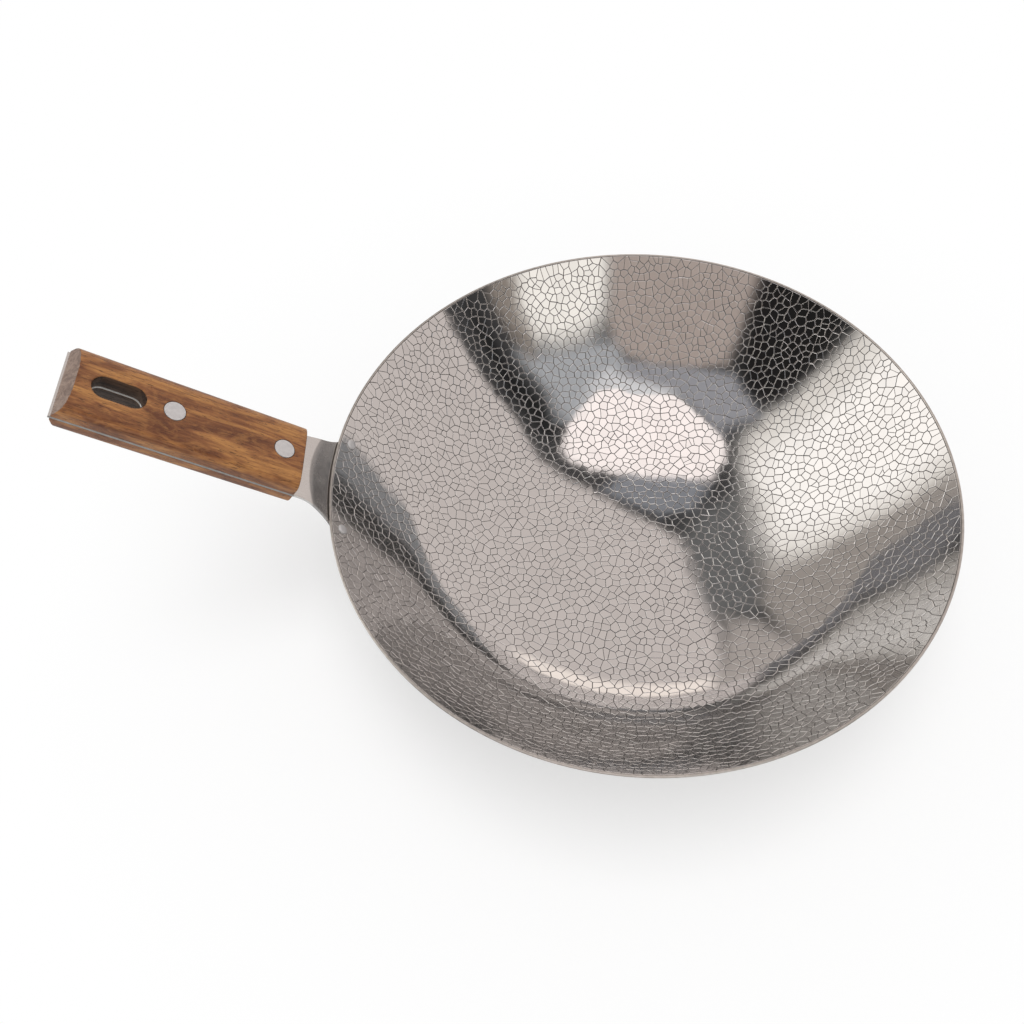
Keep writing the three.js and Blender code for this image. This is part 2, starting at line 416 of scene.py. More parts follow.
# %% Pale alloy of the rivets
rivet_alloy, shader, place = open_material("rivet_alloy")
grey = blend_colour(mottled(place, 0.0015), (0.51, 0.51, 0.515, 1), (0.6, 0.6, 0.605, 1))
feed(shader, Metallic=0.75, Base_Color=grey, Roughness=mottled(place, 0.003, 0.36, 0.5))
bump(shader, brushed(handle_place(place), 0.003, 0.0003)["Height"], 0.15, rub_depth)

# %% [markdown]
# ## Wood
# The handle is an open-pored brown hardwood. Long bands of light and dark run along it, a short cross figure and
# finer streaks lie in the bands, and small dark pores break the surface. All of them are noise stretched along the
# handle, by different lengths and widths.

# %% Shared effect: wood grain
grain, given, result, _ = open_tree(
    "Wood grain",
    "ShaderNodeTree",
    "Vector Vector, Float Band, Float Streak, Float Pore",
    "Float Bands, Float Figure, Float Streaks, Float Pores, Float Height",
)
band_length, figure_length, streak_length, pore_length = 0.05, 0.007, 0.014, 0.004
figure_width = calc("MULTIPLY", given["Band"], 0.45)
bands = stretched(given["Vector"], band_length, given["Band"], 4, 1.1)
figure = stretched(given["Vector"], figure_length, figure_width, 4, 1.2)
streaks = stretched(given["Vector"], streak_length, given["Streak"], 4, 0.3)
pores = ramp(stretched(given["Vector"], pore_length, given["Pore"], 2, 0.1), 0.58, 0.66)
hills = calc("MULTIPLY_ADD", streaks, 0.35, calc("MULTIPLY", pores, -0.8))
for label, value in (
    ("Bands", ramp(bands, 0.38, 0.62)),
    ("Figure", ramp(figure, 0.46, 0.66)),
    ("Streaks", ramp(streaks, 0.46, 0.64)),
    ("Pores", pores),
    ("Height", hills),
):
    wire(result[label], value)
print("group", grain.name)


# %% Side grain, end grain and the routed slot, whose wood is painted dark as painted shade
def wood(name, light, mid, dark, pore_colour, widths, sheen, coat):
    made, shader, place = open_material(name)
    lengthwise = handle_place(place)
    band, streak, pore = widths
    fibres = group_in(grain, Vector=lengthwise, Band=band, Streak=streak, Pore=pore)
    darker = blend_colour(ramp(fibres["Bands"], 0.0, 0.55), dark, mid)
    colour = blend_colour(ramp(fibres["Bands"], 0.45, 1.0), darker, light)
    for label, share, tint in (("Figure", 0.42, light), ("Streaks", 0.5, dark), ("Pores", 0.7, pore_colour)):
        colour = blend_colour(calc("MULTIPLY", fibres[label], share), colour, tint)
    shine = mottled(lengthwise, 0.006, *sheen)
    feed(shader, Base_Color=colour, Roughness=calc("MULTIPLY_ADD", fibres["Pores"], 0.2, shine))
    feed(shader, Specular_IOR_Level=0.27, Coat_Weight=coat, Coat_Roughness=0.2)
    bump(shader, fibres["Height"], 0.3, rub_depth)
    return made


cross_cut = (0.004, 0.0009, 0.00035)
side_colours = (0.43, 0.195, 0.060, 1), (0.26, 0.100, 0.035, 1), (0.120, 0.039, 0.015, 1), (0.045, 0.017, 0.009, 1)
end_colours = (0.31, 0.225, 0.18, 1), (0.24, 0.17, 0.135, 1), (0.16, 0.11, 0.088, 1), (0.09, 0.06, 0.046, 1)
# the slot's walls are painted very dark: painted shade inside the recess
slot_shade_colours = (0.11, 0.064, 0.040, 1), (0.065, 0.036, 0.022, 1), (0.032, 0.017, 0.011, 1), (0.018, 0.010, 0.007, 1)
side_grain = wood("handle_wood", *side_colours, (0.0085, 0.0011, 0.00045), (0.26, 0.38), 0.12)
end_grain = wood("handle_end_grain", *end_colours, cross_cut, (0.42, 0.55), 0.0)
slot_shade_grain = wood("handle_slot_shade_wood", *slot_shade_colours, cross_cut, (0.5, 0.65), 0.0)

# %% [markdown]
# ## Shape of the wall
# Inside, the pan is flat for the first 50 mm. From there the slope grows evenly with the radius, to 45 degrees at
# the knee and 56 degrees at the rim. That rule can be solved exactly: with the length measured along the wall, the
# slope is a Gudermannian function of it. One Python function gives radius, height and slope, and the same formula
# is later built from Math nodes.

# %% Wall formula
sheet = 1.2 * MM
base_radius = 50 * MM
knee_radius = 108.5 * MM
rim_radius = 140 * MM
knee_slope = math.radians(45)
rim_slope = math.radians(56)
rim_inner = rim_radius - sheet / math.sin(rim_slope)
low_spread = (knee_radius - base_radius) / knee_slope
high_spread = (rim_inner - knee_radius) / (rim_slope - knee_slope)


def slope_length(angle):
    return math.log(math.tan(angle / 2 + math.pi / 4))


low_length = low_spread * slope_length(knee_slope)
rim_length = base_radius + low_length + high_spread * (slope_length(rim_slope) - slope_length(knee_slope))


def wall(length):
    """Radius, height and slope of the inner face at a length measured from the middle of the base."""
    low = min(max(length - base_radius, 0), low_length)
    high = max(length - base_radius - low_length, 0)
    first = 2 * math.atan(math.tanh(low / low_spread / 2))
    slope = 2 * math.atan(math.tanh((low / low_spread + high / high_spread) / 2))
    radius = min(length, base_radius) + low_spread * first + high_spread * (slope - first)
    height = sheet - low_spread * math.log(math.cos(first))
    height += high_spread * math.log(math.cos(first) / math.cos(slope))
    return radius, height, slope


def wall_point(length, lift):
    """A point of the profile, lifted off the inner face towards the inside of the pan."""
    radius, height, slope = wall(length)
    return radius - lift * math.sin(slope), height + lift * math.cos(slope)


rim_top = wall(rim_length)[1]
print("wall length to the rim", round(rim_length * 1000, 2), "mm; rim height", round(rim_top * 1000, 3))

# %% [markdown]
# ## Bowl shell
# The sheet itself is a turned body: groove floor inside, a rounded cut rim, the outside wall and the flat base.
# A Screw modifier would do it too, but turning the profile in code leaves one closed mesh with a single point at
# each pole. The inside lies one groove depth below the finished inner face, because the cells stand on it.

# %% Turn the shell
groove_depth = 0.22 * MM
crackle_end = rim_length - 0.4 * MM
outer_rounding, inner_rounding = 0.4 * MM, 0.35 * MM
shell_steps = 192


def turned_mesh(name, profile, steps):
    """Turns a list of (radius, height) points that starts and ends on the axis."""
    points = [(0, 0, profile[0][1])]
    for radius, height in profile[1:-1]:
        points += [(x, y, height) for x, y in circle(radius, steps)]
    points.append((0, 0, profile[-1][1]))
    last = len(points) - 1
    faces = ring_faces(len(profile) - 2, steps, 1)
    for i in range(steps):
        j = (i + 1) % steps
        faces += [(0, 1 + j, 1 + i), (last - steps + i, last - steps + j, last)]
    return mesh_of(name, points, faces)


def rounded(before, corner, after, radius, steps=4):
    """Points of a small arc in place of a corner of the profile."""
    corner = Vector(corner)
    back, ahead = (Vector(before) - corner).normalized(), (Vector(after) - corner).normalized()
    half = math.acos(back.dot(ahead)) / 2
    middle = corner + (back + ahead).normalized() * radius / math.sin(half)
    first = (corner + back * radius / math.tan(half) - middle).normalized()
    last = (corner + ahead * radius / math.tan(half) - middle).normalized()
    return [tuple(middle + first.slerp(last, step / steps) * radius) for step in range(steps + 1)]


outside = [wall_point(base_radius + t, -sheet) for t in np.linspace(0, rim_length - base_radius, 40)]
inside = [wall_point(t, -groove_depth) for t in np.linspace(crackle_end, base_radius, 40)]
outer_edge, inner_edge = (rim_radius, rim_top), wall(rim_length)[:2]
lip = rounded(outside[-1], outer_edge, inner_edge, outer_rounding, 6)
lip += rounded(outer_edge, inner_edge, inside[0], inner_rounding)
base_rings = [(r * MM, 0.0) for r in (12, 30, 44)]
floor_rings = [(r * MM, sheet - groove_depth) for r in (40, 20, 0)]
profile = [(0, 0)] + base_rings + outside + lip + inside + floor_rings
shell = put("bowl_shell", turned_mesh("bowl_shell", profile, shell_steps))
smooth(shell, 50)
print("shell profile", len(profile), "points;", triangles(shell), "triangles")

# %% Finish of the shell
finish_with(shell, satin_steel, etched_steel, rim_edge)
floor_drop, near_floor, lip_height, least_upward = 0.3 * MM, 0.4 * MM, 0.6 * MM, 0.2
floor_line = [*zip(*(wall_point(t, -floor_drop) for t in np.linspace(0, crackle_end, 60)))]
crackle_top = wall(crackle_end)[1]
inner_faces = 0
for face in shell.data.polygons:
    middle = face.center
    off_floor = abs(middle.z - np.interp(middle.xy.length, *floor_line))
    if face.normal.z > least_upward and off_floor < near_floor and middle.z < crackle_top:
        face.material_index = 1
        inner_faces += 1
    elif middle.z > rim_top - lip_height:
        face.material_index = 2
print(inner_faces, "faces of the shell carry the etched finish")

# %% [markdown]
# ## Crackle cells
# The inside is covered with a crackle: a few thousand flat cells with straight sides, parted by narrow grooves.
# A Voronoi texture could paint it, but painted lines have no depth and no edges that catch the light. Here a flat
# disc is filled with scattered points and joined into triangles; a geometry tree takes the dual of that net, which
# gives one cell per point, draws each cell in by half a groove, raises it with a small shoulder, and wraps the
# whole disc onto the wall by the wall formula.

# %% Scatter the cell middles
cell_size = 4.15 * MM
row_height = cell_size * 0.866
cell_scatter, cell_loss = 0.24, 0.05
dice = random.Random(28)


def scattered_points():
    points = []
    rows = math.ceil(crackle_end / row_height) + 1
    for row in range(-rows, rows + 1):
        for column in range(-rows, rows + 1):
            shift = Vector((dice.gauss(0, cell_scatter), dice.gauss(0, cell_scatter))) * cell_size
            spot = Vector(((column + 0.5 * (row % 2)) * cell_size, row * row_height)) + shift
            if dice.random() > cell_loss and spot.length < crackle_end - 0.2 * cell_size:
                points.append(spot)
    return points


def mirrored_at_edge(points):
    """Points near the edge, mirrored at it, so that the cells beside the edge end there."""
    near = [p for p in points if p.length > crackle_end - 3 * cell_size]
    return [p * (2 * crackle_end / p.length - 1) for p in near]


middles = scattered_points()
net_points, _, net_faces, *_ = delaunay_2d_cdt(middles + mirrored_at_edge(middles), [], [], 0, 1e-7)
flat_disc = mesh_of("crackle_net", [(p.x, p.y, 0) for p in net_points], [tuple(f) for f in net_faces])
print("net of", len(flat_disc.vertices), "points and", len(flat_disc.polygons), "triangles")


# %% Corners of the cells
def equal_reach(a, b, c):
    """The point that is as far from each of three points: there the three cells meet."""
    b, c = b - a, c - a
    twice = 2 * (b.x * c.y - b.y * c.x)
    x = (c.y * b.length_squared - b.y * c.length_squared) / twice
    y = (b.x * c.length_squared - c.x * b.length_squared) / twice
    return a + Vector((x, y))


corner_of = flat_disc.attributes.new("corner", "FLOAT_VECTOR", "FACE")
for item, face in zip(corner_of.data, net_faces):
    spot = equal_reach(*(net_points[i] for i in face))
    item.vector = (*(spot * min(1, crackle_end / spot.length)), 0)
belongs = flat_disc.attributes.new("belongs", "BOOLEAN", "POINT")
belongs.data.foreach_set("value", [p.length < crackle_end for p in net_points])
print("corners of the cells:", len(corner_of.data))

# %% Helpers for geometry trees
least_scale = 0.3


def drawn_in(geometry, selection, inset):
    """Draws each face in towards its middle."""
    area = output("InputMeshFaceArea")
    reach = calc("SQRT", calc("DIVIDE", area, math.pi))
    scale = calc("SUBTRACT", 1.0, calc("DIVIDE", inset, reach))
    return output("ScaleElements", geometry, selection, calc("MAXIMUM", scale, least_scale))


def raised(geometry, selection, height):
    """Raises faces: the mesh, its raised tops and its new sides."""
    return node("ExtrudeMesh", geometry, selection, mode="FACES", Offset_Scale=height).outputs[:]


def kept(geometry, label, kind, value):
    store = {"data_type": kind, "domain": "FACE", "Name": label, "Value": value}
    return output("StoreNamedAttribute", geometry, **store)


def named(label, kind):
    made = node("InputNamedAttribute", label, data_type=kind)
    return next(s for s in made.outputs if s.enabled and s.name == "Attribute")


def chance(kind, low, high, seed):
    made = node("RandomValue", data_type=kind)
    sockets = [s for s in made.inputs if s.enabled]
    sockets[0].default_value, sockets[1].default_value = low, high
    wire(next(s for s in sockets if s.name == "Seed"), seed)
    return next(s for s in made.outputs if s.enabled)


def painted(geometry, selection, finish):
    return output("SetMaterial", geometry, selection, Material=finish)


print("geometry helpers ready")

# %% Tree of the crackle: cells with grooves
crackle, given, result, crackle_names = open_tree(
    "Crackle cells",
    "GeometryNodeTree",
    "Geometry Net, Float Groove width, Float Groove depth, Float Shoulder, Float Tilt, Int Seed, "
    "Material Cell finish, Material Edge finish, Material Groove finish",
    "Geometry Cells",
)
corner_merge, foot_depth, shoulder_steepness = 0.25 * MM, 0.05 * MM, 0.6
cells = output("DualMesh", given["Net"], False)
cells = output("SetPosition", cells, True, named("corner", "FLOAT_VECTOR"))
past_edge = output("BooleanMath", named("belongs", "BOOLEAN"), operation="NOT")
cells = output("DeleteGeometry", cells, past_edge, domain="FACE")
cells = output("MergeByDistance", cells, True, corner_merge)
cells = output("SplitEdges", cells)
lean = chance("FLOAT_VECTOR", (-1, -1, 0), (1, 1, 0), given["Seed"])
lean = vector_calc("SCALE", lean, Scale=given["Tilt"])
tone = chance("FLOAT", 0.0, 1.0, calc("ADD", given["Seed"], 1))
cells = kept(cells, "lean", "FLOAT_VECTOR", lean)
cells = kept(cells, "middle", "FLOAT_VECTOR", output("InputPosition"))
cells = kept(cells, "tone", "FLOAT", tone)
cells = drawn_in(cells, True, calc("MULTIPLY", given["Groove width"], 0.5))
cell_height = calc("ADD", given["Groove depth"], foot_depth)
sunk = joined(0.0, 0.0, calc("MULTIPLY", cell_height, -1))
cells = output("SetPosition", cells, Offset=sunk)
shoulder_height = calc("MULTIPLY", given["Shoulder"], shoulder_steepness)
cells, top, _ = raised(cells, True, calc("SUBTRACT", cell_height, shoulder_height))
cells, top, shoulder = raised(cells, top, shoulder_height)
cells = kept(cells, "face", "BOOLEAN", top)
cells = kept(cells, "shoulder", "BOOLEAN", shoulder)
cells = drawn_in(cells, top, given["Shoulder"])
print("cells with grooves:", len(crackle.nodes), "nodes")


# %% Tree of the crackle: wrap onto the wall
def wall_nodes(length):
    """The wall formula in Math nodes: radius, height and slope at a length along the wall."""
    past_base = calc("SUBTRACT", length, base_radius)
    low = calc("MINIMUM", calc("MAXIMUM", past_base, 0.0), low_length)
    high = calc("MAXIMUM", calc("SUBTRACT", past_base, low_length), 0.0)
    low_part = calc("DIVIDE", low, low_spread)
    both = calc("ADD", low_part, calc("DIVIDE", high, high_spread))

    def slope_at(part):
        bent = calc("TANH", calc("MULTIPLY", part, 0.5))
        return calc("MULTIPLY", calc("ARCTANGENT", bent), 2.0)

    def log_cos(angle):
        return calc("LOGARITHM", calc("COSINE", angle), math.e)

    first, slope = slope_at(low_part), slope_at(both)
    radius = calc("MULTIPLY_ADD", first, low_spread, calc("MINIMUM", length, base_radius))
    radius = calc("MULTIPLY_ADD", calc("SUBTRACT", slope, first), high_spread, radius)
    height = calc("MULTIPLY_ADD", log_cos(first), -low_spread, sheet)
    rest = calc("SUBTRACT", log_cos(first), log_cos(slope))
    return radius, calc("MULTIPLY_ADD", rest, high_spread, height), slope


spot = output("InputPosition")
away = vector_calc("SUBTRACT", spot, named("middle", "FLOAT_VECTOR"))
tipping = vector_calc("DOT_PRODUCT", away, named("lean", "FLOAT_VECTOR"))
x, y, z = parted(spot)
flat = joined(x, y, 0.0)
lift = calc("ADD", z, tipping)
radius, height, slope = wall_nodes(vector_calc("LENGTH", flat))
reach = calc("SUBTRACT", radius, calc("MULTIPLY", lift, calc("SINE", slope)))
level = calc("MULTIPLY_ADD", lift, calc("COSINE", slope), height)
outward = vector_calc("SCALE", vector_calc("NORMALIZE", flat), Scale=reach)
on_wall_place = vector_calc("ADD", outward, joined(0.0, 0.0, level))
cells = output("SetPosition", cells, Position=on_wall_place)
cells = output("RealizeInstances", cells)
cells = painted(cells, True, given["Groove finish"])
cells = painted(cells, named("face", "BOOLEAN"), given["Cell finish"])
cells = painted(cells, named("shoulder", "BOOLEAN"), given["Edge finish"])
wire(result["Cells"], cells)
print("whole tree:", len(crackle.nodes), "nodes")

# %% Grow the cells
crackle_values = {
    "Groove width": 0.23 * MM,
    "Groove depth": groove_depth,
    "Shoulder": 0.2 * MM,
    "Tilt": 0.002,
    "Seed": 5,
    "Cell finish": bright_steel,
    "Edge finish": worn_steel,
    "Groove finish": etched_steel,
}
cells = grown("crackle_cells", flat_disc, crackle, crackle_names, crackle_values)
print(sum(d.value for d in cells.data.attributes["face"].data), "cells;", triangles(cells), "triangles")

# %% [markdown]
# The tops are flat polygons, so plain shading would show the bowl as facets. The sheet was curved after the
# crackle was etched, and each cell follows that curve, with a slight lean of its own. Custom normals say so: every
# corner of a top takes the normal of the wall formula, tipped by the cell's own lean, and the shoulder rolls on from
# there to twice its own slant. The bottom of the pan is a shallow hollow, which the flat base of the solids doesn't
# have; the normals carry it as well.

# %% Normals of the cells
hollow_rate = math.radians(0.25) / MM
hollow_blend = math.radians(4)
hollow_heart = 20 * MM


def polished_slope(reach, slope):
    """The wall's own slope, or that of the hollow bottom where it is steeper, blended softly."""
    hollow = hollow_rate * reach
    share = np.clip(0.5 + 0.5 * (hollow - slope) / hollow_blend, 0, 1)
    ease = hollow_blend * share * (1 - share) * np.clip(reach / hollow_heart, 0, 1)
    return slope + (hollow - slope) * share + ease


def read(items, label, kind, width=1):
    values = np.zeros(len(items) * width, dtype=kind)
    items.foreach_get(label, values)
    return values.reshape(-1, width) if width > 1 else values


def unit(vectors):
    return vectors / np.maximum(np.linalg.norm(vectors, axis=1), 1e-12)[:, None]


def wall_axes(places):
    """For each place: the normal of the polished face, the ways up the wall and round it, and its angle."""
    table = np.array([wall(t) for t in np.linspace(0, rim_length, 900)])
    reach = np.hypot(places[:, 0], places[:, 1])
    slope = polished_slope(reach, np.interp(reach, table[:, 0], table[:, 2]))
    angle = np.arctan2(places[:, 1], places[:, 0])
    flat_way = np.stack([np.cos(angle), np.sin(angle), np.zeros_like(angle)], 1)
    upright = np.array([[0, 0, 1]])
    rise, run = np.sin(slope)[:, None], np.cos(slope)[:, None]
    return upright * run - flat_way * rise, flat_way * run + upright * rise, np.cross(upright, flat_way), angle


def cell_normals(mesh):
    corner_point = read(mesh.loops, "vertex_index", np.int32)
    places = read(mesh.vertices, "co", np.float64, 3)[corner_point]
    sizes = read(mesh.polygons, "loop_total", np.int32)
    face_of = np.repeat(np.arange(len(sizes)), sizes)
    flat_normals = read(mesh.polygons, "normal", np.float64, 3)[face_of]
    is_top = read(mesh.attributes["face"].data, "value", bool)[face_of]
    is_shoulder = read(mesh.attributes["shoulder"].data, "value", bool)[face_of]
    tip = read(mesh.attributes["lean"].data, "vector", np.float64, 3)[face_of]
    face_normal, uphill, sideways, angle = wall_axes(places)
    tip_up = tip[:, 0] * np.cos(angle) + tip[:, 1] * np.sin(angle)
    tip_side = tip[:, 1] * np.cos(angle) - tip[:, 0] * np.sin(angle)
    leaned = face_normal - uphill * tip_up[:, None] - sideways * tip_side[:, None]
    top_point = np.zeros(len(mesh.vertices), dtype=bool)
    top_point[corner_point[is_top]] = True
    upper = top_point[corner_point]
    rolled = np.where(upper[:, None], leaned, 2 * flat_normals - leaned)
    normals = np.where(is_top[:, None], leaned, flat_normals)
    return unit(np.where(is_shoulder[:, None], rolled, normals))


cells.data.shade_smooth()
cells.data.normals_split_custom_set(cell_normals(cells.data).tolist())
print("custom normals set on", len(cells.data.loops), "corners")

# %% [markdown]
# ## Bracket
# One strip of plate lies on the outside of the wall, stands up past the rim, bends along an arc and goes on as the
# flat tang. Where two surfaces of sheet metal meet in a bend, the lower of the two heights, blended over a small
# width, is the bent sheet. So the bracket is a grid in plan whose height is the smooth minimum of the wall's cone
# and the tang's plane, thickened both ways and closed at the edges.

# %% Numbers of the bracket
plate = 1.2 * MM
seat = 0.15 * MM
wood_start, wood_length, tang_tail = 5.6 * MM, 100.7 * MM, 0.9 * MM
front_half, butt_half = 16.7 * MM, 16.5 * MM
flange_half, flare, corner = 33 * MM, 16.3 * MM, 4 * MM
flange_drop, bend_width = 13 * MM, 1.3 * MM
bow_end, bow_fade = 153 * MM, 3.5 * MM
flange_low = rim_inner - flange_drop * math.cos(rim_slope)
tang_rise = math.tan(handle_slope)
flare_start = handle_start.x - wood_start * math.cos(handle_slope) + 1.5 * plate * math.sin(handle_slope)
flange_middle = sheet + seat + plate / 2
length_at = [*zip(*((wall(t)[0], t) for t in np.linspace(0.12, rim_length, 60)))]
cone = [wall_point(np.interp(r, *length_at), -flange_middle) for r in np.linspace(flange_low, rim_inner, 14)]
low_radius, low_height = wall_point(rim_length, -flange_middle)
for stand_up in np.linspace(2, 220, 12) * MM:
    cone.append((low_radius + stand_up * math.cos(rim_slope), low_height + stand_up * math.sin(rim_slope)))
cone_radii, cone_heights = np.array(cone).T
print("flange from radius", round(cone_radii[0] * 1000, 2), "mm, flare from x", round(flare_start * 1000, 2))


# %% Grid of the bracket
def half_width(x):
    """Half the plan width of the bracket at a plan x, with the hollow flare and the round lower corners."""
    if x <= flare_start:
        out_along = (handle_start.x - x) / math.cos(handle_slope)
        share = min(max((out_along - wood_start) / wood_length, 0), 1)
        return front_half + (butt_half - front_half) * share
    into = x - flare_start
    wide = flange_half - math.sqrt(flare**2 - min(into, flare) ** 2)
    past_corner = x - (-flange_low + plate - corner)
    if past_corner > 0:
        wide = min(wide, flange_half - corner + math.sqrt(max(corner**2 - past_corner**2, 0)))
    return wide


def blend_low(first, second, width):
    share = min(max(0.5 + 0.5 * (second - first) / width, 0), 1)
    return second + (first - second) * share - width * share * (1 - share)


def sheet_point(reach, share, wide):
    """A point of the bracket's middle face: reach out from the axis, share across from -1 to 1."""
    bow = min(max((bow_end - reach) / bow_fade, 0), 1)
    y = share * wide
    x = -reach + bow * (reach - math.sqrt(reach**2 - y**2))
    on_cone = np.interp(math.hypot(x, y), cone_radii, cone_heights)
    on_tang = handle_start.z + (handle_start.x - x) * tang_rise
    return Vector((x, y, blend_low(on_cone, on_tang, bend_width)))


def settled_point(reach, share):
    """Finds the width and the place, which depend on each other, in a few rounds."""
    wide = half_width(-reach)
    for _ in range(6):
        wide = half_width(sheet_point(reach, share, wide).x)
    return sheet_point(reach, share, wide)


tang_end = -handle_start.x + (wood_start + wood_length + tang_tail) * math.cos(handle_slope)
flange_top, bend_first, bend_last, tang_first = 0.1445, 0.145, 0.1535, 0.157
reaches = [*np.linspace(cone_radii[0], flange_top, 26), *np.linspace(bend_first, bend_last, 20)]
reaches += [*np.linspace(tang_first, tang_end, 16)]
shares = np.linspace(-1, 1, 33)
grid = [[settled_point(reach, share) for share in shares] for reach in reaches]
print("bracket grid", len(grid), "by", len(shares))


# %% Thicken the bracket
def thick_sheet(name, grid, thickness):
    rows, columns = len(grid), len(grid[0])
    place = np.array([[tuple(p) for p in row] for row in grid])
    facing = np.cross(np.gradient(place, axis=0), np.gradient(place, axis=1))
    facing /= np.linalg.norm(facing, axis=2)[:, :, None]
    facing *= np.where(facing[:, :, 2:3] < 0, -1, 1)
    half = facing * thickness / 2
    points = np.concatenate([(place + half).reshape(-1, 3), (place - half).reshape(-1, 3)])
    lower = rows * columns
    faces = []
    for r in range(rows - 1):
        for c in range(columns - 1):
            a, b = r * columns + c, (r + 1) * columns + c
            faces.append((a, a + 1, b + 1, b))
            faces.append((lower + a, lower + b, lower + b + 1, lower + a + 1))
    index = np.arange(lower).reshape(rows, columns)
    edge = np.concatenate([index[0], index[1:, -1], index[-1, -2::-1], index[-2:0:-1, 0]]).tolist()
    for a, b in zip(edge, edge[1:] + edge[:1]):
        faces.append((b, a, lower + a, lower + b))
    return face_outwards(mesh_of(name, points, faces))


bracket = put("bracket_plate", thick_sheet("bracket_plate", grid, plate))
print("plate", triangles(bracket), "triangles")

# %% [markdown]
# ## Cutters
# The hanging slot goes through tang and wood, and the rivet heads sink into the wood. Both are cut with Boolean
# modifiers by bodies stacked from outlines, which is also how the small chamfer round the mouth of the slot is made.

# %% Cutter bodies
slot_reach, slot_half = 5.6 * MM, 5.2 * MM
slot_at = wood_start + 79.5 * MM
rivets_at = (wood_start + 9.4 * MM, wood_start + 57.2 * MM)
wood_low, crown = 0.7 * MM, 8.1 * MM
tang_clear, edge_facing = 6 * MM, 0.8


def slot_outline(grow, steps=14):
    points, radius = [], slot_half + grow
    for side in (1, -1):
        for step in range(steps + 1):
            angle = math.pi * (step / steps - 0.5) + (0 if side > 0 else math.pi)
            points.append((side * slot_reach + radius * math.cos(angle), radius * math.sin(angle)))
    return points


def stacked(name, layers, at):
    """A body in handle axes from (outline, height) layers with the same number of points."""
    count = len(layers[0][0])
    points = [Vector((at + x, y, z)) for outline, z in layers for x, y in outline]
    faces = [tuple(reversed(range(count))), tuple(range(len(points) - count, len(points)))]
    faces += ring_faces(len(layers), count)
    return put(name, mesh_of(name, [handle_matrix @ p for p in points], faces))


def cut(piece, *cutters):
    for cutter in cutters:
        modifier = piece.modifiers.new("cut", "BOOLEAN")
        modifier.operation = "DIFFERENCE"
        modifier.solver = "EXACT"
        modifier.object = cutter
    settle(piece)
    for cutter in cutters:
        bpy.data.objects.remove(cutter)


cut(bracket, stacked("slot_in_tang", [(slot_outline(0), z) for z in (-tang_clear, tang_clear)], slot_at))
edges = bracket.modifiers.new("edges", "BEVEL")
edges.width = 0.3 * MM
edges.segments = 3
edges.limit_method = "ANGLE"
edges.angle_limit = math.radians(50)
settle(bracket)
smooth(bracket, 35)
finish_with(bracket, bracket_steel, tang_edge)
# the tang's edge faces and its slot walls take the steel that is painted darker as painted shade
for face in bracket.data.polygons:
    facing = to_handle.to_3x3() @ face.normal
    if (to_handle @ face.center).x > wood_start and abs(facing.z) < edge_facing and facing.x < edge_facing:
        face.material_index = 1
print("bracket", triangles(bracket), "triangles")

# %% [markdown]
# ## Wooden scales
# Two matching scales of wood lie on the two faces of the tang. Each is a domed bar: nearly flat on top, rounded
# over the sides, cut square in front and bevelled at the butt, where the end grain shows. A rounded box would miss
# that section, so the bar is lofted from sections along the handle and then cut for slot and rivets.

# %% Section of a scale
scale_side, scale_thick, dome_power = 1.2 * MM, 7.4 * MM, 4.2
butt_bevel, butt_foot = 5 * MM, 0.8 * MM
bevel_middle, bevel_loss, bevel_blend = 0.88, 0.22, 0.5 * MM
front_rounding = 0.6 * MM


def scale_section(x, steps=44):
    """Points across a scale at x along it, from one bottom edge over the dome to the other."""
    half = front_half + (butt_half - front_half) * x / wood_length
    ease = max(front_rounding - x, 0) / front_rounding
    shrink = front_rounding * (1 - math.sqrt(max(1 - ease**2, 0)))
    points = [(half - shrink, 0)]
    for step in range(steps + 1):
        turn = math.pi * step / steps
        y = abs(math.cos(turn)) ** (2 / dome_power) * math.copysign(half - shrink, math.cos(turn))
        ground = butt_bevel * (bevel_middle - bevel_loss * (y / half) ** 2)
        facet = butt_foot + (wood_length - x) / ground * (scale_thick - butt_foot)
        z = scale_side + (scale_thick - scale_side - shrink) * abs(math.sin(turn)) ** (2 / dome_power)
        points.append((y, blend_low(z, facet, bevel_blend)))
    points.append((-half + shrink, 0))
    return points


stations = [0, 0.05, 0.15, 0.3, 0.6, 2, 4.4, *np.linspace(8, 92.7, 29), 94.2, *np.linspace(94.9, 100.7, 30)]
stations = [s * MM for s in stations]
print(len(stations), "sections of", len(scale_section(0)), "points")

# %% Loft and cut the scales
mouth_steps = ((0, 10.1), (0, 0.7), (0.12, 0.4), (0.35, 0.12), (1.4, -0.5))
seat_radius, seat_depth, seat_top = 4.72 * MM, 2.15 * MM, 4 * MM
slot_margin, butt_margin = 0.1 * MM, 0.4 * MM
butt_facing, front_facing, level_facing = 0.55, -0.8, 0.5


def scale_body(name, side):
    points = []
    for x in stations:
        points += [Vector((wood_start + x, side * y, side * (wood_low + z))) for y, z in scale_section(x)]
    count = len(scale_section(0))
    faces = [(a, d, c, b) for a, b, c, d in ring_faces(len(stations), count)]
    faces += [tuple(range(count)), tuple(reversed(range(len(points) - count, len(points))))]
    return put(name, face_outwards(mesh_of(name, [handle_matrix @ p for p in points], faces), 1e-6))


def layers_for(side, *layers):
    """Layers of a cutter for the upper side, or turned over for the lower one."""
    return layers if side > 0 else [(outline, -z) for outline, z in reversed(layers)]


